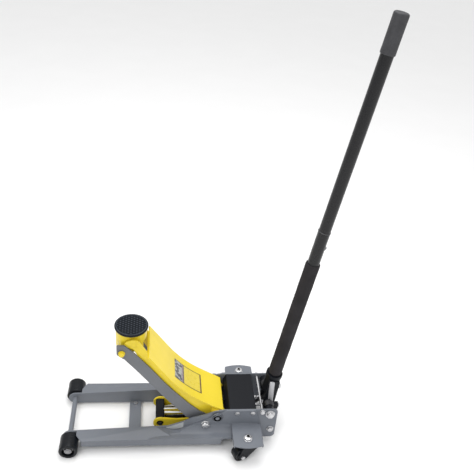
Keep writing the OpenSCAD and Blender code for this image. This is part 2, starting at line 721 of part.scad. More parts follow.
module caster_fork() place() color(paint_black) at_caster() difference() {
    union() {
        translate([0, 0, 74]) cylinder(r = 22, h = plate_h - plate_t - 74 - gap);
        translate([-26, -fork_in - fork_t, 70]) cube([60, 2 * (fork_in + fork_t), 4]);
        for (y = [-fork_in - fork_t, fork_in]) side_sheet(rounded([[34, 74, 0], [34, 56, 6],
            [-trail + 17, caster_r - 13, 10], [-trail - 11, caster_r - 13, 10],
            [-trail - 14, caster_r + 6, 10], [-26, 74, 0]], 5), y, y + fork_t);
    }
    translate([0, 0, 50]) cylinder(r = 6 + fit, h = 60);
    pin_y([-trail, caster_r], 4, -30, 30);
}

module caster_axle() place() color(zinc) at_caster() {
    pin_y([-trail, caster_r], 4, -fork_in - fork_t - 1, fork_in + fork_t + 1);
    hex_y([-trail, caster_r], 13, -fork_in - fork_t - 6, -fork_in - fork_t);
    hex_y([-trail, caster_r], 13, fork_in + fork_t, fork_in + fork_t + 5);
}

module caster_wheel() place() color(rubber) at_caster() translate([-trail, 0, caster_r]) rotate([90, 0, 0])
    rotate_extrude($fn = 96) polygon(concat([[4 + fit, -caster_w / 2 - 1]], [[9, -caster_w / 2 - 1],
        [10, -caster_w / 2 + 2], [caster_r - 8, -caster_w / 2 + 2], [caster_r - 5, -caster_w / 2]],
        [for (i = [-4:4]) [caster_r - 3 + 3 * cos(i * 22.5), (caster_w / 2 - 3) * i / 4 + 3 * sin(i * 22.5)]],
        [[caster_r - 5, caster_w / 2], [caster_r - 8, caster_w / 2 - 2], [10, caster_w / 2 - 2],
         [9, caster_w / 2 + 1], [4 + fit, caster_w / 2 + 1]]));

// ---- nodes ----

side_rail();  // side_rail_left
right_side() side_rail();  // side_rail_right
side_skin();  // side_skin_left
right_side() side_skin();  // side_skin_right
caster_bracket();  // caster_bracket_left
right_side() caster_bracket();  // caster_bracket_right
front_axle();
front_roller();  // front_roller_left
right_side() front_roller();  // front_roller_right
axle_nuts();
axle_washers();
cross_plate();
cross_plate_bolts();
rear_cross_rod();
rear_tie_bar();
top_cover();
cover_bolts();
arm_shaft();
shaft_rings();
lift_arm();
arm_cover();
tie_bar();  // tie_bar_left
right_side() tie_bar();  // tie_bar_right
tie_bar_bolts();
saddle_bracket();
saddle_pin();
level_bolts();
saddle();
saddle_pad();
ram_yoke();
yoke_pins();
ram_rod();
ram_link();  // ram_link_left
right_side() ram_link();  // ram_link_right
link_pins();
ram_cylinder();
ram_guard();
power_unit();
reservoir();
pump_plungers();
release_spindle();
release_shaft();
handle_socket();
socket_bolts();
pump_rollers();
clamp_bolt();
lower_tube();
handle_sleeve();
joint_collar();
snap_button();
upper_tube();
handle_grip();
king_pins();
caster_fork();  // caster_fork_left
right_side() caster_fork();  // caster_fork_right
caster_axle();  // caster_axle_left
right_side() caster_axle();  // caster_axle_right
caster_wheel();  // caster_wheel_left
right_side() caster_wheel();  // caster_wheel_right
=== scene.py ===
# Low-profile trolley jack: materials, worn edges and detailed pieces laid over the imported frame.
# Lengths are in metres. X runs from the saddle to the handle, Y across the frame, Z up from the floor.
import json
import math

import bmesh
import bpy
import numpy as np
from mathutils import Matrix, Vector


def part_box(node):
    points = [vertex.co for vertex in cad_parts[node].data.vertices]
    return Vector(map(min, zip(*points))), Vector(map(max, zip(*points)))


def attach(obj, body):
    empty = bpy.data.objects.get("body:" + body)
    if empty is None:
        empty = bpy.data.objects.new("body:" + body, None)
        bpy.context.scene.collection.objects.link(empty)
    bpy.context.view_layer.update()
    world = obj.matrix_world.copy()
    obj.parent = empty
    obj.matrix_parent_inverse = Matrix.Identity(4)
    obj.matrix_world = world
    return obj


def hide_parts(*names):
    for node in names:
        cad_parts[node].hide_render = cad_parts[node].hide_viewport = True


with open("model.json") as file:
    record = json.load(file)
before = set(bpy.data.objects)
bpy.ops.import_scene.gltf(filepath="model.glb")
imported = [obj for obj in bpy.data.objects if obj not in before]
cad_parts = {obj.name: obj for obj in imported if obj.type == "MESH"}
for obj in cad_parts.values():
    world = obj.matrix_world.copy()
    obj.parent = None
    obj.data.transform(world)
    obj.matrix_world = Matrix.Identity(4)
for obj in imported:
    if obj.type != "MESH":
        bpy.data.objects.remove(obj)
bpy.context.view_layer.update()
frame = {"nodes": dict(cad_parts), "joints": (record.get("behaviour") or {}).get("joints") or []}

bl_info = {
    "name": "Trolley Jack",
    "version": (1, 0, 0),
    "blender": (4, 5, 0),
    "location": "View3D > Sidebar > Jack",
    "description": "Finishes and detailed pieces for a low-profile trolley jack",
    "category": "Object",
}

NODES = frame["nodes"]
JOINTS = {j["name"]: j for j in frame["joints"]}
MATERIALS = {}

UP = np.array([0.0, 0.0, 1.0])
SIDES = (("left", -1.0), ("right", 1.0))
WEB = 0.091            # from the middle plane to the outer face of a rail's web
BRACKET_TOP = 0.086    # height of the caster brackets' upper face
SHARP = math.radians(38)
INK = (0.035, 0.030, 0.010, 1.0)


# ---- measuring the frame ----

def joint_at(name):
    """A point on a joint's axis."""
    return np.array(JOINTS[name]["pos_m"], float)


def joint_axis(name):
    """A joint's axis as a unit vector."""
    a = np.array(JOINTS[name]["axis"], float)
    return a / np.linalg.norm(a)


def points(node):
    """All the vertices of a CAD node as an array."""
    me = NODES[node].data
    co = np.zeros(len(me.vertices) * 3)
    me.vertices.foreach_get("co", co)
    return co.reshape(-1, 3)


def span(node, origin, axis):
    """Lowest and highest distance of a node's points along an axis through origin."""
    s = (points(node) - origin) @ axis
    return float(s.min()), float(s.max())


def reach(node, origin, axis):
    """Largest distance of a node's points from an axis through origin."""
    d = points(node) - origin
    return float(np.linalg.norm(d - np.outer(d @ axis, axis), axis=1).max())


def middle(node):
    """Middle of a node's box."""
    lo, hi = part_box(node)
    return np.array((lo + hi) / 2)


# ---- surfaces ----

def basis(axis):
    """Two unit vectors square to axis and to each other."""
    a = np.array(axis, float) / np.linalg.norm(axis)
    h = UP if abs(a[2]) < 0.9 else np.array([1.0, 0.0, 0.0])
    u = np.cross(h, a)
    u /= np.linalg.norm(u)
    return u, np.cross(a, u), a


def sheet_faces(n, m, wrap_u, wrap_v, start):
    """Quads between neighbours of an n by m grid of points, closed round either way."""
    i = np.arange(n if wrap_u else n - 1)
    j = np.arange(m if wrap_v else m - 1)
    i, j = np.meshgrid(i, j, indexing="ij")
    a, b = i * m + j, ((i + 1) % n) * m + j
    c, d = ((i + 1) % n) * m + (j + 1) % m, i * m + (j + 1) % m
    return np.stack([a, b, c, d], -1).reshape(-1, 4) + start


def solid_name(name, shells, smooth=True):
    """One mesh object from several grids (points, closed along u, closed along v)."""
    verts, faces, n = [], [], 0
    for grid, wu, wv in shells:
        verts.append(grid.reshape(-1, 3))
        faces.append(sheet_faces(grid.shape[0], grid.shape[1], wu, wv, n))
        n += grid.shape[0] * grid.shape[1]
    me = bpy.data.meshes.new(name)
    me.from_pydata(np.concatenate(verts).tolist(), [], np.concatenate(faces).tolist())
    me.validate()
    bm = bmesh.new()
    bm.from_mesh(me)
    bmesh.ops.remove_doubles(bm, verts=bm.verts, dist=1e-6)
    bmesh.ops.dissolve_degenerate(bm, edges=bm.edges, dist=1e-7)
    bmesh.ops.recalc_face_normals(bm, faces=bm.faces)
    bm.to_mesh(me)
    bm.free()
    me.polygons.foreach_set("use_smooth", np.full(len(me.polygons), smooth))
    if smooth:
        me.set_sharp_from_angle(angle=SHARP)
    o = bpy.data.objects.new(name, me)
    bpy.context.scene.collection.objects.link(o)
    return o


def turned(origin, axis, profile, around=96, ripple=None):
    """A turned shape: every profile point (radius, distance) carried once round the axis. The
    radius may be changed by ripple(angle, distance, radius)."""
    u, v, a = basis(axis)
    p = np.array(profile, float)
    t = np.arange(around) * 2 * math.pi / around
    r, s = np.broadcast_arrays(p[:, 0][None, :], p[:, 1][None, :])
    r = np.repeat(r, around, 0)
    s = np.repeat(s, around, 0)
    tt = np.repeat(t[:, None], len(p), 1)
    if ripple is not None:
        r = ripple(tt, s, r)
    pts = (np.array(origin)[None, None, :] + (r * np.cos(tt))[..., None] * u
           + (r * np.sin(tt))[..., None] * v + s[..., None] * a)
    return pts, True, False


def hexagon(origin, axis, flats, s0, s1, turn=0.0, around=72):
    """A hexagonal head from s0 to s1: the radius at each angle is half the flats over the cosine of
    the angle from the nearest flat, cut by a cone at the outer end for the chamfer."""
    h = flats / 2
    sgn = 1 if s1 > s0 else -1
    deep = flats * 0.10
    rows = [(0, s0), (1, s0), (1, s1 - sgn * deep), (0.985, s1 - sgn * flats * 0.06),
            (0.93, s1 - sgn * flats * 0.02), (0.86, s1), (0, s1)]

    def ripple(t, s, r):
        """The flat's distance over the cosine of the angle, and never more than the cone."""
        k = math.pi / 3
        q = (t - turn + k / 2) % k - k / 2
        edge = h / np.cos(q)
        cone = h * (1.155 - 0.9 * np.clip(np.abs(s - (s1 - sgn * deep)) / deep, 0, 1)
                    * 0.19 * (np.abs(s - s1) < deep + 1e-9))
        return np.where(r > 0.9, np.minimum(edge, cone), np.minimum(edge, h * 1.0) * r)
    return turned(origin, axis, rows, around, ripple)


def washer(origin, axis, r, s0, s1, c=0.0006):
    """A flat disc with both rims rounded by c."""
    lo, hi = min(s0, s1), max(s0, s1)
    return turned(origin, axis, [(0, lo), (r - c, lo), (r, lo + c), (r, hi - c), (r - c, hi), (0, hi)], 64)


def ring(origin, axis, r_in, r_out, s0, s1, c=0.0006, around=96):
    """A flat ring whose four corners are rounded by c."""
    return turned(origin, axis, [(r_in + c, s0), (r_out - c, s0), (r_out, s0 + c), (r_out, s1 - c),
                                 (r_out - c, s1), (r_in + c, s1), (r_in, s1 - c), (r_in, s0 + c),
                                 (r_in + c, s0)], around)


def bead(path, r, flatten=0.6, up=None, around=12, ripple_every=0.004):
    """A weld bead: a circle of radius r carried along the path, its radius rising and falling by a
    tenth every few millimetres and dying out at both ends."""
    p = np.array(path, float)
    seg = np.linalg.norm(np.diff(p, axis=0), axis=1)
    s = np.concatenate([[0], np.cumsum(seg)])
    n = max(12, int(s[-1] / 0.0012))
    q = np.linspace(0, s[-1], n)
    c = np.stack([np.interp(q, s, p[:, k]) for k in range(3)], 1)
    tan = np.gradient(c, axis=0)
    tan /= np.linalg.norm(tan, axis=1)[:, None]
    up = UP if up is None else np.array(up, float)
    side = np.cross(tan, up)
    side /= np.linalg.norm(side, axis=1)[:, None] + 1e-12
    nrm = np.cross(side, tan)
    t = np.arange(around) * 2 * math.pi / around
    end = np.clip(np.minimum(q, s[-1] - q) / (r * 1.2), 0, 1)
    rad = r * np.sqrt(1 - (1 - end) ** 2) * (1 + 0.10 * np.sin(q * 2 * math.pi / ripple_every))
    pts = (c[:, None, :] + (rad[:, None] * np.cos(t)[None, :])[..., None] * side[:, None, :]
           + (flatten * rad[:, None] * np.sin(t)[None, :])[..., None] * nrm[:, None, :])
    return pts, False, True


def coil(origin, axis, r, wire, turns, s0, s1, around=10):
    """A coil spring: a small circle carried along a helix of radius r."""
    u, v, a = basis(axis)
    n = int(turns * 28)
    q = np.linspace(0, turns * 2 * math.pi, n)
    s = np.linspace(s0, s1, n)
    out = np.cos(q)[:, None] * u + np.sin(q)[:, None] * v
    c = np.array(origin) + r * out + s[:, None] * a
    t = np.arange(around) * 2 * math.pi / around
    end = np.clip(np.minimum(np.arange(n), n - 1 - np.arange(n)) / 2, 0, 1)
    pts = (c[:, None, :] + (wire * end[:, None] * np.cos(t)[None, :])[..., None] * out[:, None, :]
           + (wire * end[:, None] * np.sin(t)[None, :])[..., None] * a)
    return pts, False, True


def keep(o, material, body, slot, *nodes):
    """Gives a finished piece its material and its body, and hides the nodes that it stands for; slot is not
    used.
    """
    o.data.materials.append(MATERIALS[material])
    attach(o, body)
    if nodes:
        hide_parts(*nodes)
    return o


# ---- materials ----

class Maker:
    """A small helper that adds shader nodes and links them."""

    def __init__(self, name, **surface):
        self.m = bpy.data.materials.new(name)
        self.m.use_nodes = True
        self.t = self.m.node_tree
        self.t.nodes.clear()
        self.out = self.t.nodes.new("ShaderNodeOutputMaterial")
        self.s = self.t.nodes.new("ShaderNodeBsdfPrincipled")
        self.t.links.new(self.s.outputs["BSDF"], self.out.inputs["Surface"])
        self.co = self.t.nodes.new("ShaderNodeTexCoord").outputs["Object"]
        for k, v in surface.items():
            self.s.inputs[k.replace("_", " ")].default_value = v
        MATERIALS[name] = self.m

    def put(self, socket, value):
        """Links a node's output to the socket, or sets the socket to a constant."""
        if isinstance(value, bpy.types.NodeSocket):
            self.t.links.new(value, socket)
        else:
            socket.default_value = value

    def add(self, kind, **inputs):
        """Adds a node, sets or links its inputs, and gives back its first output."""
        n = self.t.nodes.new(kind)
        for k, v in inputs.items():
            self.put(n.inputs[k.replace("_", " ")], v)
        return n.outputs[0]

    def noise(self, scale, detail=3.0, rough=0.55, vector=None):
        """Cloudy noise around 0.5, scale features to the metre."""
        return self.add("ShaderNodeTexNoise", Vector=vector or self.co, Scale=scale, Detail=detail,
                        Roughness=rough)

    def scaled(self, x, y, z):
        """Object coordinates stretched by a factor along each axis."""
        return self.add("ShaderNodeMapping", Vector=self.co, Scale=(x, y, z))

    def remap(self, v, a, b, c, d):
        """Carries a to b onto c to d, held at the ends."""
        return self.add("ShaderNodeMapRange", Value=v, From_Min=a, From_Max=b, To_Min=c, To_Max=d)

    def math(self, op, a, b=0.0, c=0.0):
        n = self.t.nodes.new("ShaderNodeMath")
        n.operation = op
        for i, v in enumerate((a, b, c)):
            self.put(n.inputs[i], v)
        return n.outputs[0]

    def mix(self, f, a, b):
        """Colour a where f is 0 and colour b where f is 1."""
        n = self.t.nodes.new("ShaderNodeMix")
        n.data_type = "RGBA"
        self.put(n.inputs[0], f)
        self.put(n.inputs[6], a)
        self.put(n.inputs[7], b)
        return n.outputs[2]

    def soft_edge(self, radius=0.0012):
        """A normal that rounds sharp edges over the radius."""
        o = self.add("ShaderNodeBevel", Radius=radius)
        o.node.samples = 4
        return o

    def edge(self, radius=0.0015):
        """How far the rounded normal leans from the true one: 0 on a flat face, up to 1 on an edge."""
        b = self.soft_edge(radius)
        g = self.t.nodes.new("ShaderNodeNewGeometry").outputs["Normal"]
        n = self.t.nodes.new("ShaderNodeVectorMath")
        n.operation = "DOT_PRODUCT"
        self.t.links.new(b, n.inputs[0])
        self.t.links.new(g, n.inputs[1])
        return self.remap(n.outputs["Value"], 0.995, 0.80, 0.0, 1.0)

    def bump(self, height, strength, distance, normal=None):
        """A normal tilted by a height pattern, over the given normal."""
        o = self.add("ShaderNodeBump", Strength=strength, Distance=distance, Height=height)
        if normal is not None:
            self.t.links.new(normal, o.node.inputs["Normal"])
        return o

    def finish(self, colour, rough, normal):
        """Joins the three patterns to the surface."""
        self.put(self.s.inputs["Base Color"], colour)
        self.put(self.s.inputs["Roughness"], rough)
        self.put(self.s.inputs["Normal"], normal)


def rgba(c, k=1.0):
    """A colour made k times as bright, with full opacity."""
    return (min(1.0, c[0] * k), min(1.0, c[1] * k), min(1.0, c[2] * k), 1.0)


def paint(name, colour, rough, peel, wear, wear_colour=(0.42, 0.42, 0.43), coat=0.12, dust=0.06, spec=0.3):
    """Sprayed enamel: slight orange peel, a faint unevenness in shade, fine dust, and paint that is
    thinner and brighter along the edges."""
    k = Maker(name, Metallic=0.0, Coat_Weight=coat, Coat_Roughness=0.18, Specular_IOR_Level=spec)
    broad = k.noise(5.0, 4.0)
    fine = k.noise(240.0, 2.0)
    shade = k.mix(k.remap(broad, 0.35, 0.68, 0.0, 1.0), rgba(colour, 0.93), rgba(colour, 1.06))
    specks = k.remap(k.noise(900.0, 1.0), 0.66, 0.72, 0.0, dust)
    shade = k.mix(specks, shade, rgba(colour, 1.6))
    chips = k.math("MULTIPLY", k.edge(0.0011), k.remap(k.noise(85.0, 5.0, 0.7), 0.50, 0.66, 0.0, wear))
    shade = k.mix(chips, shade, rgba(wear_colour))
    r = k.remap(k.noise(34.0, 5.0), 0.3, 0.7, rough - 0.05, rough + 0.07)
    k.finish(shade, r, k.bump(fine, peel, 0.0004, k.soft_edge()))


def metal(name, colour, rough, streak=(900.0, 40.0, 40.0), metallic=1.0, bump=0.12, stain=0.25):
    """Plated or bare metal: fine turning streaks, cloudy plating and slightly dull patches."""
    k = Maker(name, Metallic=metallic)
    cloud = k.noise(22.0, 4.0)
    lines = k.noise(1.0, 2.0, vector=k.scaled(*streak))
    shade = k.mix(k.remap(cloud, 0.35, 0.70, 0.0, stain), rgba(colour), rgba(colour, 0.62))
    r = k.remap(k.noise(60.0, 4.0), 0.3, 0.7, rough - 0.06, rough + 0.10)
    k.finish(shade, r, k.bump(lines, bump, 0.0003, k.soft_edge(0.0008)))


def make_materials(s):
    """All the materials, with their colours from the scene's jack_colours."""
    paint("frame_enamel", s.grey, 0.36, 0.16, 0.55)
    paint("bar_enamel", s.bar_grey, 0.38, 0.16, 0.5)
    paint("yellow_enamel", s.yellow, 0.32, 0.10, 0.30, (0.30, 0.28, 0.20), 0.15, 0.03)
    paint("black_enamel", s.black, 0.42, 0.14, 0.45, (0.16, 0.16, 0.17), 0.03, 0.10, 0.16)
    paint("tube_enamel", s.tube_black, 0.26, 0.08, 0.30, (0.16, 0.16, 0.16), 0.08, 0.10, 0.30)
    metal("zinc", (0.62, 0.62, 0.63), 0.30)
    metal("bright_steel", (0.72, 0.72, 0.73), 0.22, bump=0.06)
    metal("chrome_rod", (0.78, 0.79, 0.80), 0.10, bump=0.02, stain=0.08)
    metal("dark_steel", (0.10, 0.10, 0.105), 0.42)
    metal("pale_zinc", (0.52, 0.52, 0.54), 0.48, metallic=0.55)
    metal("dull_zinc", (0.30, 0.30, 0.31), 0.42, metallic=0.8)

    # moulded roller plastic: uneven in shade, with fine scuffs round the tread
    k = Maker("roller_gloss", Metallic=0.0, Coat_Weight=0.06, Coat_Roughness=0.12, Specular_IOR_Level=0.2)
    base = k.mix(k.remap(k.noise(26.0, 5.0), 0.4, 0.7, 0.0, 1.0), rgba(s.roller), rgba(s.roller, 1.6))
    scuff = k.remap(k.noise(1.0, 4.0, vector=k.scaled(60.0, 700.0, 60.0)), 0.62, 0.78, 0.0, 0.35)
    k.finish(k.mix(scuff, base, (0.045, 0.045, 0.045, 1.0)), k.remap(k.noise(90.0), 0.3, 0.7, 0.26, 0.42),
             k.bump(k.noise(420.0), 0.10, 0.0003, k.soft_edge(0.001)))

    # saddle rubber: dull, its colour mixed lighter towards the tops of its studs
    k = Maker("pad_rubber", Metallic=0.0, Specular_IOR_Level=0.2)
    stud = k.t.nodes.new("ShaderNodeAttribute")
    stud.attribute_name = "stud"
    stud_top_tint = k.mix(k.remap(k.noise(120.0, 6.0, 0.7), 0.45, 0.75, 0.0, 0.5),
                  rgba(s.stud_top_tint, 0.7), rgba(s.stud_top_tint, 1.4))
    # the colour grows lighter with height up each stud
    stud_top_mix = k.remap(stud.outputs["Fac"], 0.35, 0.95, 0.0, 1.0)
    k.finish(k.mix(stud_top_mix, rgba(s.rubber), stud_top_tint), k.remap(k.noise(60.0), 0.3, 0.7, 0.62, 0.80),
             k.bump(k.noise(1300.0, 2.0), 0.25, 0.0003))

    # foam sleeve: cellular skin of small pits, each pit darkened in colour as painted shade
    k = Maker("sleeve_foam", Metallic=0.0, Specular_IOR_Level=0.15)
    cells = k.add("ShaderNodeTexVoronoi", Vector=k.co, Scale=620.0)
    tint = k.mix(k.remap(k.noise(18.0, 4.0), 0.35, 0.7, 0.0, 1.0), rgba(s.foam, 0.85), rgba(s.foam, 1.25))
    # the colour drops to half towards each cell's middle: painted shade in the pits
    k.finish(k.mix(k.remap(cells, 0.0, 0.5, 0.35, 0.0), tint, rgba(s.foam, 0.5)), 0.78,
             k.bump(k.math("ADD", cells, k.noise(240.0, 3.0)), 0.30, 0.0005))

    # vinyl grip
    k = Maker("grip_vinyl", Metallic=0.0, Specular_IOR_Level=0.3)
    tint = k.mix(k.remap(k.noise(30.0, 4.0), 0.35, 0.7, 0.0, 1.0), rgba(s.grip, 0.85), rgba(s.grip, 1.2))
    k.finish(tint, k.remap(k.noise(90.0, 3.0), 0.3, 0.7, 0.42, 0.58),
             k.bump(k.noise(800.0, 2.0), 0.2, 0.0003))

    # printed label panel: blocks and rules only, placed by the panel attribute, 0 to 1 down and across
    strip_end, front_end, tail_start = 0.30, 0.36, 0.955
    rule_half, rear_rule, side_rule = 0.013, 0.985, 0.035
    k = Maker("label_print", Metallic=0.0, Coat_Weight=0.5, Coat_Roughness=0.12)
    uv = k.t.nodes.new("ShaderNodeAttribute")
    uv.attribute_name = "panel"
    sep = k.add("ShaderNodeSeparateXYZ", Vector=uv.outputs["Vector"])
    a, b = sep, sep.node.outputs[1]
    ink = k.noise(6.0, 1.0, vector=uv.outputs["Vector"])
    tone = k.mix(k.remap(ink, 0.46, 0.54, 0.0, 1.0), rgba(s.label_dark), rgba(s.label_light))
    front = k.math("LESS_THAN", a, front_end)
    strip = k.math("LESS_THAN", a, strip_end)
    tone = k.mix(strip, rgba(s.label_violet), tone)
    body = k.mix(front, rgba(s.label_yellow), tone)
    tail = k.math("GREATER_THAN", a, tail_start)
    body = k.mix(tail, body, rgba(s.label_brown))
    rim = k.math("ADD", k.math("LESS_THAN", b, side_rule), k.math("GREATER_THAN", b, 1 - side_rule))
    rim = k.math("ADD", rim, k.math("GREATER_THAN", a, rear_rule))
    rim = k.math("ADD", rim, k.math("COMPARE", a, front_end, rule_half))
    body = k.mix(k.math("MINIMUM", rim, 1.0), body, INK)
    k.finish(body, k.remap(k.noise(70.0), 0.3, 0.7, 0.24, 0.34), k.bump(k.noise(300.0), 0.05, 0.0002))

    # pale, glossy grey patch laid on the left web
    k = Maker("pale_patch", Metallic=0.0, Coat_Weight=0.5, Coat_Roughness=0.15)
    k.finish(k.mix(k.noise(40.0, 3.0), (0.36, 0.38, 0.38, 1.0), (0.46, 0.48, 0.48, 1.0)),
             k.remap(k.noise(120.0), 0.3, 0.7, 0.24, 0.36), k.bump(k.noise(300.0), 0.05, 0.0002))

    k = Maker("studio_floor", Metallic=0.0)
    k.finish(k.mix(k.noise(3.0, 2.0), (0.90, 0.90, 0.90, 1.0), (0.93, 0.93, 0.93, 1.0)), 0.55,
             k.bump(k.noise(60.0), 0.02, 0.0005))


# which CAD nodes carry each finish
NODE_FINISH = {
    "frame_enamel": ["front_axle", "arm_shaft", "shaft_rings", "side_rail_left", "side_rail_right",
                     "side_skin_left", "side_skin_right", "caster_bracket_left", "caster_bracket_right",
                     "cross_plate"],
    "bar_enamel": ["tie_bar_left", "tie_bar_right"],
    "yellow_enamel": ["lift_arm", "arm_cover", "saddle_bracket", "saddle_pin", "level_bolts",
                      "ram_link_left", "ram_link_right"],
    # ram_guard is a plate guessed under the ram; its black partly stands in for the shade under the arm
    "black_enamel": ["top_cover", "ram_yoke", "ram_cylinder", "ram_guard", "power_unit", "reservoir",
                     "handle_socket", "caster_fork_left", "caster_fork_right", "saddle"],
    "dark_steel": ["pump_rollers", "release_spindle", "release_shaft", "yoke_pins"],
    "tube_enamel": ["lower_tube", "upper_tube"],
    "zinc": ["axle_nuts", "axle_washers", "cross_plate_bolts", "rear_tie_bar", "cover_bolts", "tie_bar_bolts",
             "link_pins", "socket_bolts", "clamp_bolt", "joint_collar", "snap_button", "king_pins",
             "caster_axle_left", "caster_axle_right"],
    "bright_steel": ["rear_cross_rod", "pump_plungers"],
    "chrome_rod": ["ram_rod"],
    "roller_gloss": ["front_roller_left", "front_roller_right", "caster_wheel_left", "caster_wheel_right"],
    "pad_rubber": ["saddle_pad"],
    "sleeve_foam": ["handle_sleeve"],
    "grip_vinyl": ["handle_grip"],
}


def colour(label, value, text):
    """A colour that can be changed in the panel."""
    return bpy.props.FloatVectorProperty(name=label, description=text, default=value, size=3,
                                         subtype="COLOR", min=0.0, max=1.0)


def length(label, value, text):
    """A length that can be changed in the panel."""
    return bpy.props.FloatProperty(name=label, description=text, default=value, min=0.0,
                                   subtype="DISTANCE", unit="LENGTH", precision=4)


class JackColours(bpy.types.PropertyGroup):
    """Colours of the jack's paints, plastics and printed panel."""
    grey: colour("Frame grey", (0.150, 0.163, 0.187), "Enamel of the frame")
    bar_grey: colour("Bar grey", (0.145, 0.152, 0.166), "Enamel of the levelling bars")
    yellow: colour("Arm yellow", (0.80, 0.62, 0.030), "Enamel of the lift arm")
    black: colour("Cover black", (0.006, 0.007, 0.010), "Enamel of the cover and the power unit")
    tube_black: colour("Tube black", (0.010, 0.010, 0.011), "Enamel of the handle tubes")
    roller: colour("Roller black", (0.004, 0.005, 0.007), "Rollers and caster wheels")
    rubber: colour("Pad rubber", (0.004, 0.006, 0.010), "Rubber of the saddle pad")
    # colour that the pad's stud tops are mixed towards
    stud_top_tint: colour("Stud rubber", (0.060, 0.072, 0.088), "Colour towards the tops of the pad's studs")
    foam: colour("Sleeve foam", (0.026, 0.024, 0.026), "Foam of the handle sleeve")
    grip: colour("Grip", (0.044, 0.044, 0.048), "Vinyl of the hand grip")
    label_dark: colour("Label dark", (0.018, 0.020, 0.030), "Dark block of the printed panel")
    label_light: colour("Label light", (0.36, 0.36, 0.33), "Light block of the printed panel")
    label_violet: colour("Label violet", (0.24, 0.17, 0.20), "Second block of the printed panel")
    label_yellow: colour("Label yellow", (0.72, 0.57, 0.045), "Main field of the printed panel")
    label_brown: colour("Label brown", (0.13, 0.055, 0.030), "Rear edge of the printed panel")


class JackSizes(bpy.types.PropertyGroup):
    """Sizes of the fine detail laid over the frame."""
    stud_pitch: length("Stud pitch", 0.0092, "Distance between studs on the saddle pad")
    stud_high: length("Stud height", 0.0013, "Height of the studs on the saddle pad")
    bead_r: length("Weld bead", 0.0023, "Half width of a weld bead")
    panel_half: length("Panel half width", 0.0455, "Half the width of the printed panel")
    rib_pitch: length("Grip ribs", 0.0044, "Distance between the ribs of the grip")


class JACK_OT_finishes(bpy.types.Operator):
    """Makes the materials and puts them on the frame's own parts."""
    bl_idname = "jack.finishes"
    bl_label = "Finishes"

    def execute(self, context):
        make_materials(context.scene.jack_colours)
        for name, nodes in NODE_FINISH.items():
            for n in nodes:
                me = NODES[n].data
                me.materials.clear()
                me.materials.append(MATERIALS[name])
        return {"FINISHED"}


class JACK_OT_saddle(bpy.types.Operator):
    """Turned saddle dish and its rubber pad with a field of small round studs."""
    bl_idname = "jack.saddle"
    bl_label = "Saddle and pad"

    def execute(self, context):
        z = context.scene.jack_sizes
        lo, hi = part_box("saddle")
        c = np.array([(lo.x + hi.x) / 2, 0.0, 0.0])
        r = (hi.x - lo.x) / 2
        plo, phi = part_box("saddle_pad")
        base = plo.z
        dish_low, dish_high = base - 0.005, hi.z
        stem = 0.015
        o = solid_name("saddle_dish", [turned(c, UP, [
            (0, lo.z), (stem - 0.001, lo.z), (stem, lo.z + 0.001), (stem, dish_low), (r - 0.004, dish_low),
            (r - 0.0012, dish_low + 0.0012), (r, dish_low + 0.004), (r, dish_high - 0.001),
            (r - 0.0007, dish_high), (r - 0.0022, dish_high), (r - 0.0028, dish_high - 0.0008),
            (r - 0.0029, base + 0.0001), (0, base + 0.0001)], 144)])
        keep(o, "black_enamel", "saddle", "black_paint", "saddle")

        # pad: height = plate + studs, each stud the clipped product of three cosine waves at 60 degrees
        pr = r - 0.0032
        band = 0.004
        rho = np.concatenate([np.linspace(0, pr - band, 110),
                              pr - band + band * np.sin(np.linspace(0.1, 1, 8) * math.pi / 2)])
        t = np.arange(300) * 2 * math.pi / 300
        x = np.cos(t)[:, None] * rho[None, :]
        y = np.sin(t)[:, None] * rho[None, :]
        k = 2 * math.pi / z.stud_pitch
        w = (np.cos(k * x) + np.cos(k * (x / 2 + y * 0.866)) + np.cos(k * (x / 2 - y * 0.866))) / 3
        foot, full = 0.22, 0.67
        field = np.clip((w - foot) / (full - foot), 0, 1) ** 0.6
        inside = np.clip((pr - 0.0055 - rho) / 0.0015, 0, 1)[None, :]
        rim = np.clip((rho - (pr - 0.0045)) / 0.001, 0, 1)[None, :] * np.ones_like(w)
        top = phi.z - z.stud_high
        fall = np.sqrt(np.clip(1 - np.clip((rho - (pr - 0.002)) / 0.002, 0, 1) ** 2, 0, 1))
        h = top + z.stud_high * np.maximum(field * inside, rim * fall[None, :])
        grid = np.stack([x + c[0], y, h], -1)
        skirt = np.stack([np.stack([np.cos(t) * q + c[0], np.sin(t) * q, np.full_like(t, hh)], -1)
                          for q, hh in ((pr, top - 0.0008), (pr, base + 0.0003), (0.0, base + 0.0003))], 1)
        o = solid_name("saddle_studded_pad", [(np.concatenate([grid, skirt], 1), True, False)])
        co = np.empty(len(o.data.vertices) * 3)
        o.data.vertices.foreach_get("co", co)
        tip = np.clip((co[2::3] - top) / z.stud_high, 0, 1)
        o.data.attributes.new("stud", "FLOAT", "POINT").data.foreach_set("value", tip)
        keep(o, "pad_rubber", "saddle", "saddle_rubber", "saddle_pad")
        return {"FINISHED"}


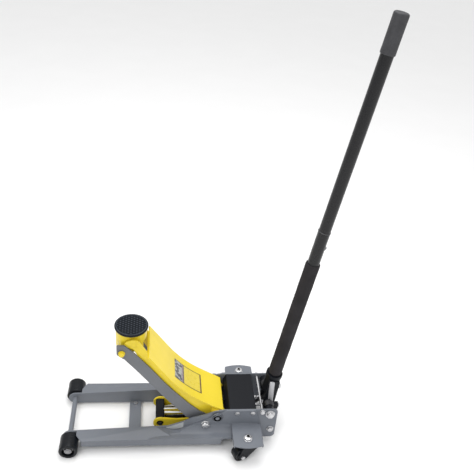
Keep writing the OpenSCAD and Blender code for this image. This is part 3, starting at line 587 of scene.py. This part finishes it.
class JACK_OT_rollers(bpy.types.Operator):
    """Front rollers and caster wheels: turned shapes with rounded treads, hub recesses and mould lines."""
    bl_idname = "jack.rollers"
    bl_label = "Rollers and wheels"

    def execute(self, context):
        for side, s in SIDES:
            lo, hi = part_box("front_roller_" + side)
            c = np.array([(lo.x + hi.x) / 2, 0.0, (lo.z + hi.z) / 2])
            axis = np.array([0.0, s, 0.0])
            r = (hi.z - lo.z) / 2
            a, b = sorted((abs(lo.y), abs(hi.y)))
            hub, well = 0.0092, 0.0212
            prof = [(hub, a), (r - 0.009, a), (r - 0.008, a + 0.0012), (r - 0.0045, a + 0.0012)]
            q = np.linspace(0, math.pi / 2, 7)
            prof += [(r - 0.0035 + 0.0035 * math.sin(v), a + 0.0047 - 0.0035 * math.cos(v)) for v in q]
            prof += [(r, a + 0.020), (r - 0.0004, a + 0.0204), (r - 0.0004, a + 0.0212), (r, a + 0.0216)]
            prof += [(r, b - 0.0216), (r - 0.0004, b - 0.0212), (r - 0.0004, b - 0.0204), (r, b - 0.020)]
            prof += [(r - 0.0045 + 0.0045 * math.cos(v), b - 0.0045 + 0.0045 * math.sin(v)) for v in q]
            prof += [(well + 0.0022, b), (well + 0.0006, b - 0.0006), (well, b - 0.0022), (well, b - 0.0140),
                     (hub, b - 0.0140), (hub, a)]
            o = solid_name("front_roller_turned_" + side, [turned(c, axis, prof, 144)])
            keep(o, "roller_gloss", "front_roller_" + side, "roller_plastic", "front_roller_" + side)

            c = joint_at("caster_spin_" + side)
            axis = joint_axis("caster_spin_" + side)
            node = "caster_wheel_" + side
            w1 = span(node, c, axis)[1]
            r = reach(node, c, axis)
            hw = w1 - 0.001
            q = np.linspace(-math.pi / 2, math.pi / 2, 11)
            half = [(0.0041, -w1), (0.0088, -w1), (0.0096, -w1 + 0.001), (0.0102, -hw + 0.0026),
                    (r - 0.0086, -hw + 0.0030), (r - 0.0078, -hw + 0.0006), (r - 0.0060, -hw)]
            shoulder = 0.0035
            tread = [(r - shoulder + shoulder * math.cos(v), -hw + shoulder * (1 + math.sin(v)))
                     for v in q if v <= 0]
            other = [(p, -d) for p, d in reversed(half + tread)]
            o = solid_name("caster_wheel_turned_" + side, [
                turned(c, axis, half + tread + [(r, -0.0008), (r - 0.0003, 0), (r, 0.0008)] + other
                       + [(0.0041, -w1)], 120)])
            keep(o, "roller_gloss", node, "roller_plastic", node)
        return {"FINISHED"}


class JACK_OT_handle(bpy.types.Operator):
    """The handle's two tubes, foam sleeve, joint collar and ribbed hand grip, all turned on its axis."""
    bl_idname = "jack.handle"
    bl_label = "Handle"

    def execute(self, context):
        z = context.scene.jack_sizes
        h, a = joint_at("handle_twist"), joint_axis("handle_twist")

        s0, s1 = span("lower_tube", h, a)
        r = reach("lower_tube", h, a)
        wall = 0.0023
        prof = [(r - wall, s0), (r - 0.0006, s0), (r, s0 + 0.0006), (r, s1 - 0.012), (r, s1 - 0.0006),
                (r - 0.0006, s1), (r - wall, s1)]
        o = solid_name("lower_tube_turned", [turned(h, a, prof, 128)])
        keep(o, "tube_enamel", "handle", "tube_paint", "lower_tube")

        s0, s1 = span("handle_sleeve", h, a)
        ro = reach("handle_sleeve", h, a)
        # sleeve: rounded off at both ends, with slow waves along it
        q = np.linspace(0, 1, 260)
        s = s0 + (s1 - s0) * q
        end = np.minimum(q, 1 - q) * (s1 - s0)
        waves = 0.00025 * (1 + np.sin(s * 71.0 + 0.6 * np.sin(s * 23.0)))
        rr = ro - 0.0001 - 0.0016 * np.exp(-end / 0.0018) - waves
        prof = [(r + 0.0001, s0)] + list(zip(rr, s)) + [(r + 0.0001, s1)]

        def foam(t, ss, rad):
            """Shallow dents: the product of a wave round the sleeve and one along it."""
            w = np.sin(t * 3 + ss * 31.0) * np.sin(ss * 47.0 + t) * 0.00018
            return np.where(rad > r + 0.002, rad + w - 0.0002, rad)
        o = solid_name("sleeve_foam_skin", [turned(h, a, prof, 120, foam)])
        keep(o, "sleeve_foam", "handle", "sleeve_foam", "handle_sleeve")

        s0, s1 = span("joint_collar", h, a)
        rc = reach("joint_collar", h, a)
        o = solid_name("joint_ring_turned", [ring(h, a, r - wall, rc, s0, s1, 0.0009, 128)])
        keep(o, "dark_steel", "handle", "zinc_plate", "joint_collar")

        g0, g1 = span("handle_grip", h, a)
        rg = reach("handle_grip", h, a)
        top = span("upper_tube", h, a)[1]
        ru = r - 0.0008
        k0 = span("joint_collar", h, a)[1]
        prof = [(ru - wall, k0), (ru, k0), (ru, top - 0.0006), (ru - 0.0006, top), (ru - wall, top)]
        o = solid_name("upper_tube_turned", [turned(h, a, prof, 128)])
        keep(o, "tube_enamel", "handle", "tube_paint", "upper_tube")

        # grip: a sheath with shallow ribs that die out near its ends, and a domed end
        s = np.linspace(g0 + 0.002, g1 - 0.006, 420)
        fade = np.clip(np.minimum(s - g0 - 0.010, g1 - 0.018 - s) / 0.006, 0, 1)
        ribs = 0.00028 * fade * (1 - np.abs(np.sin(math.pi * s / z.rib_pitch)))
        body = list(zip(rg - 0.0002 - 0.0003 * fade + ribs, s))
        q = np.linspace(0, math.pi / 2, 12)[1:]
        dome = [(rg - 0.006 + 0.0058 * math.cos(v), g1 - 0.006 + 0.006 * math.sin(v)) for v in q]
        prof = [(ru + 0.0001, g0), (rg - 0.0014, g0), (rg - 0.0004, g0 + 0.0008)] + body + dome + [(0, g1)]
        o = solid_name("grip_sheath", [turned(h, a, prof, 128)])
        keep(o, "grip_vinyl", "handle", "grip_rubber", "handle_grip")

        # pressed ring round the snap button
        b = middle("snap_button")
        sb = float((b - h) @ a)
        axis = -joint_axis("snap_press")
        centre = h + a * sb
        o = solid_name("snap_escutcheon", [turned(centre, axis, [
            (0.0054, r - 0.0012), (0.0085, r - 0.0020), (0.0085, r - 0.0002), (0.0080, r + 0.0005),
            (0.0060, r + 0.0007), (0.0054, r - 0.0002), (0.0054, r - 0.0012)], 48)])
        keep(o, "dark_steel", "handle", "zinc_plate")
        return {"FINISHED"}


class JACK_OT_fasteners(bpy.types.Operator):
    """Chamfered hexagon nuts and bolt heads with rounded washers, over the plain pins of the frame."""
    bl_idname = "jack.fasteners"
    bl_label = "Fasteners"

    def execute(self, context):
        for side, s in SIDES:
            ax = np.array([0.0, s, 0.0])
            axle = middle("front_axle")
            axle[1] = 0
            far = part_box("front_axle")[1].y
            shells = [washer(axle, ax, 0.0160, far - 0.0115, far - 0.0090),
                      hexagon(axle, ax, 0.0242, far - 0.0090, far - 0.0008, 0.2),
                      turned(axle, ax, [(0, far - 0.002), (0.0078, far - 0.002), (0.0078, far + 0.0004),
                                        (0.0066, far + 0.0012), (0, far + 0.0012)], 48)]
            o = solid_name("axle_nut_head_" + side, shells)
            keep(o, "dull_zinc", "frame", "zinc_plate", *(["axle_nuts"] if s < 0 else []))

            p = joint_at("tie_bar_swing")
            p[1] = 0
            o = solid_name("anchor_bolt_head_" + side, [
                washer(p, ax, 0.0151, WEB + 0.0039, WEB + 0.0071),
                hexagon(p, ax, 0.0242, WEB + 0.0070, WEB + 0.0152, 0.35),
                turned(p, ax, [(0, WEB + 0.0150), (0.0072, WEB + 0.0150), (0.0066, WEB + 0.0156),
                               (0, WEB + 0.0156)], 32)])
            keep(o, "bright_steel", "frame", "zinc_plate")

            p = joint_at("arm_lift")
            p[1] = 0
            y1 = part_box("arm_shaft")[1].y
            o = solid_name("arm_shaft_end_" + side, [
                turned(p, ax, [(0.0150, WEB), (0.0151, y1 - 0.0018), (0.0140, y1), (0.0075, y1),
                               (0.0068, y1 - 0.0008), (0, y1 - 0.0010)], 96),
                ring(p, ax, 0.0153, 0.0192, WEB + 0.0040, WEB + 0.0072, 0.0008),
                ring(p, ax, 0.0153, 0.0180, WEB + 0.0074, WEB + 0.0090, 0.0005)])
            keep(o, "frame_enamel", "frame", "zinc_plate")

            p = joint_at("handle_pump")
            p[1] = 0
            o = solid_name("socket_bolt_head_" + side, [
                washer(p, ax, 0.0172, WEB, WEB + 0.0031), washer(p, ax, 0.0140, WEB + 0.0031, WEB + 0.0044),
                hexagon(p, ax, 0.0222, WEB + 0.0044, WEB + 0.0122, 0.15),
                turned(p, ax, [(0, WEB + 0.012), (0.0081, WEB + 0.012), (0.0081, WEB + 0.0134),
                               (0.0070, WEB + 0.0142), (0, WEB + 0.0142)], 48)])
            keep(o, "zinc", "frame", "zinc_plate")

            lo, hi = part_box("rear_tie_bar")
            p = np.array([(lo.x + hi.x) / 2, 0, (lo.z + hi.z) / 2])
            o = solid_name("tie_bolt_head_" + side, [
                washer(p, ax, 0.0128, WEB, WEB + 0.0022),
                hexagon(p, ax, 0.0182, WEB + 0.0022, WEB + 0.0086, 0.5)])
            keep(o, "zinc", "frame", "zinc_plate")

            lo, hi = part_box("rear_cross_rod")
            p = np.array([(lo.x + hi.x) / 2, 0, (lo.z + hi.z) / 2])
            o = solid_name("rod_nut_head_" + side, [
                washer(p, ax, 0.0100, WEB, WEB + 0.0014),
                hexagon(p, ax, 0.0150, WEB + 0.0014, WEB + 0.0066, 0.1)])
            keep(o, "zinc", "frame", "zinc_plate")

            shells = []
            lo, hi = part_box("cover_bolts")
            zc = (lo.z + hi.z) / 2
            bolt_r = 0.0069
            for x in (lo.x + bolt_r, hi.x - bolt_r):
                p = np.array([x, 0, zc])
                shells += [washer(p, ax, 0.0088, WEB + 0.0040, WEB + 0.0052),
                           hexagon(p, ax, 0.0122, WEB + 0.0052, WEB + 0.0084, x * 9)]
            o = solid_name("cover_bolt_heads_" + side, shells)
            keep(o, "zinc", "frame", "zinc_plate")

            k = joint_at("caster_swivel_" + side)
            k[2] = 0
            z1 = BRACKET_TOP
            o = solid_name("king_nut_head_" + side, [
                washer(k, UP, 0.0152, z1, z1 + 0.0032), hexagon(k, UP, 0.0252, z1 + 0.0032, z1 + 0.0124, 0.3),
                turned(k, UP, [(0, z1 + 0.012), (0.0061, z1 + 0.012), (0.0061, z1 + 0.0150),
                               (0.0052, z1 + 0.0160), (0, z1 + 0.0160)], 48)])
            keep(o, "bright_steel", "frame", "zinc_plate")
            o = solid_name("caster_ball_race_" + side, [
                turned(k, UP, [(0.0065, 0.0775), (0.0205, 0.0775), (0.0222, 0.0790), (0.0222, 0.0800),
                               (0.0205, 0.0812), (0.0065, 0.0812), (0.0065, 0.0775)], 72)])
            keep(o, "bright_steel", "caster_fork_" + side, "zinc_plate")

            c = joint_at("caster_spin_" + side)
            ca = joint_axis("caster_spin_" + side)
            fw = span("caster_fork_" + side, c, ca)[1]
            o = solid_name("caster_axle_heads_" + side, [
                hexagon(c, ca, 0.0132, fw, fw + 0.0051, 0.2), hexagon(c, -ca, 0.0132, fw, fw + 0.0051, 0.4),
                turned(c, ca, [(0, fw + 0.0047), (0.0035, fw + 0.0047), (0.0035, fw + 0.0057),
                               (0, fw + 0.0059)], 24)])
            keep(o, "zinc", "caster_fork_" + side, "zinc_plate")

            lv = joint_at("saddle_level")
            lb = middle("level_bolts")
            lb[1] = 0
            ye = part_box("level_bolts")[1].y
            o = solid_name("level_bolt_head_" + side, [
                washer(lb, ax, 0.0117, ye - 0.0091, ye - 0.0069),
                hexagon(lb, ax, 0.0172, ye - 0.0070, ye + 0.0001, 0.25),
                turned(lb, ax, [(0, ye), (0.0050, ye), (0.0046, ye + 0.0005), (0, ye + 0.0005)], 24)])
            keep(o, "yellow_enamel", "saddle_bracket", "yellow_paint")
            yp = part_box("saddle_pin")[1].y
            lv[1] = 0
            o = solid_name("saddle_pin_clip_" + side, [
                ring(lv, ax, 0.0088, 0.0118, yp - 0.0020, yp - 0.0008, 0.0003, 48)])
            keep(o, "yellow_enamel", "lift_arm", "yellow_paint")
        return {"FINISHED"}


class JACK_OT_welds(bpy.types.Operator):
    """Weld beads along the joints of the rails and the caster brackets."""
    bl_idname = "jack.welds"
    bl_label = "Weld beads"

    def execute(self, context):
        r = context.scene.jack_sizes.bead_r
        lo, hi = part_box("caster_bracket_left")
        x0, x1 = lo.x, hi.x
        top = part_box("side_rail_left")[1].z
        seam = BRACKET_TOP + 0.0002
        foot, head = 0.040, 0.078
        for side, s in SIDES:
            y = s * (WEB + 0.0042)
            y1 = y - s * 0.0012
            y2 = s * (WEB + 0.002)
            beads = [
                bead([(x0 + 0.004, y, seam), (x1 - 0.030, y, seam)], r, 0.75, (0, 0, 1)),
                bead([(x0 - 0.0004, y1, 0.096), (x0 - 0.0004, y1, top - 0.016)], r * 0.8, 0.7, (0, 1, 0))]
            beads += [bead([(x, y2, foot), (x, y2, head)], r * 0.9, 0.7, (0, 1, 0))
                      for x in (x1 - 0.004, x0 + 0.004)]
            o = solid_name("frame_weld_beads_" + side, beads)
            keep(o, "frame_enamel", "frame", "frame_paint")
        return {"FINISHED"}


class JACK_OT_panel_print(bpy.types.Operator):
    """The printed panel on the arm's cover and a pale glossy patch on the left rail, both without words."""
    bl_idname = "jack.panel_print"
    bl_label = "Printed panel"

    def execute(self, context):
        z = context.scene.jack_sizes
        p = joint_at("arm_lift")
        # the cover's line from front to rear, as offsets from the arm pivot, with a wide bend
        nose, corner, tail = np.array([-0.245, 0.274]), np.array([-0.124, 0.107]), np.array([0.022, 0.018])
        rad = 0.420
        u = (nose - corner) / np.linalg.norm(nose - corner)
        w = (tail - corner) / np.linalg.norm(tail - corner)
        half = math.acos(float(u @ w)) / 2
        mid = (u + w) / np.linalg.norm(u + w)
        centre = corner + mid * rad / math.sin(half)
        t0, t1 = corner + u * rad / math.tan(half), corner + w * rad / math.tan(half)
        a0 = math.atan2(*(t0 - centre)[::-1])
        a1 = math.atan2(*(t1 - centre)[::-1])
        a1 = a0 + (a1 - a0 + math.pi) % (2 * math.pi) - math.pi
        q = np.linspace(a0, a1, 60)
        arc = centre + rad * np.stack([np.cos(q), np.sin(q)], 1)
        line = np.concatenate([[nose], arc, [tail]])
        d = np.concatenate([[0], np.cumsum(np.linalg.norm(np.diff(line, axis=0), axis=1))])
        x_from, x_to = -0.155, -0.057
        s_from = np.interp(x_from, line[:, 0], d)
        s_to = np.interp(x_to, line[:, 0], d)
        s = np.linspace(s_from, s_to, 70)
        x = np.interp(s, d, line[:, 0])
        h = np.interp(s, d, line[:, 1])
        tx, th = np.gradient(x, s), np.gradient(h, s)
        nx, nh = -th, tx
        flip = np.sign(nh.mean())
        lift = 0.0004
        x, h = x + flip * nx * lift, h + flip * nh * lift
        y = np.linspace(-z.panel_half, z.panel_half, 40)
        grid = np.stack(np.broadcast_arrays(x[:, None] + p[0], y[None, :], h[:, None] + p[2]), -1)
        o = solid_name("arm_panel_print", [(grid, False, False)])
        me = o.data
        co = np.zeros(len(me.vertices) * 3)
        me.vertices.foreach_get("co", co)
        co = co.reshape(-1, 3)
        uu = np.interp(co[:, 0], grid[:, 0, 0], np.linspace(0, 1, len(s)))
        vv = (co[:, 1] + z.panel_half) / (2 * z.panel_half)
        at = me.attributes.new("panel", "FLOAT_VECTOR", "POINT")
        at.data.foreach_set("vector", np.stack([uu, vv, np.zeros_like(uu)], 1).ravel())
        me.update()
        if sum(f.normal.z for f in me.polygons) < 0:
            me.flip_normals()
        keep(o, "label_print", "lift_arm", "yellow_paint")

        # pale patch: a strip on the left web, below its rising top edge, measured back from the front axle
        axle = middle("front_axle")
        start, long, web_skin = 0.338, 0.060, -0.0913
        u = np.linspace(0, 1, 24)[:, None]
        v = np.linspace(0, 1, 6)[None, :]
        top_line = np.interp(start + long * u, [0.345, 0.400], [0.0735, 0.0965])
        low = np.interp(start + long * u, [0.338, 0.372, 0.398], [0.0665, 0.0595, 0.0665])
        x = axle[0] + start + long * u + 0.0 * v
        zz = low + (top_line - low) * v
        yy = np.full_like(x, web_skin)
        o = solid_name("rail_pale_patch", [(np.stack([x, yy, zz], -1), False, False)])
        if sum(f.normal.y for f in o.data.polygons) > 0:
            o.data.flip_normals()
        keep(o, "pale_patch", "frame", "frame_paint")
        return {"FINISHED"}


class JACK_OT_socket(bpy.types.Operator):
    """Detail round the handle socket: face plates on its ears and two torsion springs."""
    bl_idname = "jack.socket"
    bl_label = "Handle socket"

    def execute(self, context):
        h, a = joint_at("handle_twist"), joint_axis("handle_twist")
        side = np.array([0.0, 1.0, 0.0])
        fore = np.cross(side, a)
        for name, s in SIDES:
            # plate: a strip on the ear's outer face, its outer rim drawn in
            outline = np.array([(0.0020, -0.036), (0.0205, -0.036), (0.0205, -0.020), (0.0117, 0.035),
                                (0.0010, 0.096), (-0.0030, 0.100), (-0.0165, 0.100), (-0.0170, 0.092),
                                (-0.0075, 0.035), (0.0000, 0.000)])
            m = outline.mean(0)
            rows = []
            for level, scale in ((0.0320, 1.0), (0.0338, 1.0), (0.0343, 0.97), (0.0343, 0.0)):
                pts = m + (outline - m) * scale
                rows.append(h + pts[:, :1] * fore + pts[:, 1:] * a + s * side * level)
            o = solid_name("socket_face_plate_" + name, [(np.stack(rows, 1), True, False)])
            keep(o, "pale_zinc", "handle_socket", "black_paint")
            o = solid_name("torsion_spring_" + name, [coil(h, side * s, 0.0172, 0.0014, 6.0, 0.040, 0.062)])
            keep(o, "dark_steel", "frame", "zinc_plate")
        return {"FINISHED"}


class JACK_OT_stage(bpy.types.Operator):
    """Pale floor, soft lights and the camera."""
    bl_idname = "jack.stage"
    bl_label = "Stage"

    def execute(self, context):
        me = bpy.data.meshes.new("floor")
        me.from_pydata([(-40, -40, 0), (40, -40, 0), (40, 60, 0), (-40, 60, 0)], [], [(0, 1, 2, 3)])
        floor = bpy.data.objects.new("floor", me)
        context.scene.collection.objects.link(floor)
        me.materials.append(MATERIALS["studio_floor"])

        world = bpy.data.worlds.new("studio")
        world.use_nodes = True
        t = world.node_tree
        bg = t.nodes["Background"]
        bg.inputs["Strength"].default_value = 1.0
        # sky: grey at the horizon, white overhead
        sep = t.nodes.new("ShaderNodeSeparateXYZ")
        t.links.new(t.nodes.new("ShaderNodeTexCoord").outputs["Generated"], sep.inputs[0])
        ramp = t.nodes.new("ShaderNodeMapRange")
        for k, v in (("From Min", -0.05), ("From Max", 0.85), ("To Min", 0.22), ("To Max", 1.10)):
            ramp.inputs[k].default_value = v
        t.links.new(sep.outputs["Z"], ramp.inputs["Value"])
        t.links.new(ramp.outputs["Result"], bg.inputs["Color"])
        context.scene.world = world
        context.scene.view_settings.view_transform = "Standard"

        def lamp(name, place, target, size, power):
            """A round soft light at place, turned towards target."""
            data = bpy.data.lights.new(name, "AREA")
            data.shape = "DISK"
            data.size = size
            data.energy = power
            o = bpy.data.objects.new(name, data)
            o.location = place
            o.rotation_mode = "QUATERNION"
            o.rotation_quaternion = (Vector(target) - Vector(place)).to_track_quat("-Z", "Y")
            context.scene.collection.objects.link(o)

        lamp("key", (-1.6, -2.2, 3.4), (0, 0, 0.3), 2.0, 42)
        lamp("fill", (2.6, -2.6, 2.0), (0, 0, 0.3), 2.6, 18)
        lamp("top", (0.2, 0.8, 3.8), (0, 0, 0.2), 2.4, 54)

        data = bpy.data.cameras.new("view")
        data.sensor_width = 36.0
        data.lens = 48.26
        cam = bpy.data.objects.new("view", data)
        context.scene.collection.objects.link(cam)
        # place measured from the front axle; yaw from +Y, pitch below the horizon, roll about the view
        axle = middle("front_axle")
        place = Vector((axle[0] + 0.27326, -1.63404, 1.89035))
        yaw, pitch, roll = 0.1579, 0.5704, 0.1067
        fwd = Vector((math.sin(yaw) * math.cos(pitch), math.cos(yaw) * math.cos(pitch), -math.sin(pitch)))
        r0 = Vector((math.cos(yaw), -math.sin(yaw), 0))
        u0 = r0.cross(fwd)
        right = math.cos(roll) * r0 + math.sin(roll) * u0
        up = -math.sin(roll) * r0 + math.cos(roll) * u0
        rot = Matrix((right, up, -fwd)).transposed()
        cam.rotation_mode = "QUATERNION"
        cam.rotation_quaternion = rot.to_quaternion()
        cam.location = place
        data.clip_start, data.clip_end = 0.05, 200
        context.scene.camera = cam
        return {"FINISHED"}


OPERATORS = (JACK_OT_finishes, JACK_OT_stage, JACK_OT_saddle, JACK_OT_rollers, JACK_OT_handle,
             JACK_OT_fasteners, JACK_OT_welds, JACK_OT_panel_print, JACK_OT_socket)


class JACK_PT_panel(bpy.types.Panel):
    """Lists the jack's operators and settings."""
    bl_idname = "JACK_PT_panel"
    bl_label = "Trolley Jack"
    bl_space_type = "VIEW_3D"
    bl_region_type = "UI"
    bl_category = "Jack"

    def draw(self, context):
        for c in OPERATORS:
            self.layout.operator(c.bl_idname)
        for group in (context.scene.jack_colours, context.scene.jack_sizes):
            for k in group.__annotations__:
                self.layout.prop(group, k)


CLASSES = (JackColours, JackSizes) + OPERATORS + (JACK_PT_panel,)


def register():
    for c in CLASSES:
        bpy.utils.register_class(c)
    bpy.types.Scene.jack_colours = bpy.props.PointerProperty(type=JackColours)
    bpy.types.Scene.jack_sizes = bpy.props.PointerProperty(type=JackSizes)


def unregister():
    del bpy.types.Scene.jack_sizes
    del bpy.types.Scene.jack_colours
    for c in reversed(CLASSES):
        bpy.utils.unregister_class(c)


def main():
    register()
    for c in OPERATORS:
        group, name = c.bl_idname.split(".")
        getattr(getattr(bpy.ops, group), name)()


if __name__ == "__main__":
    main()
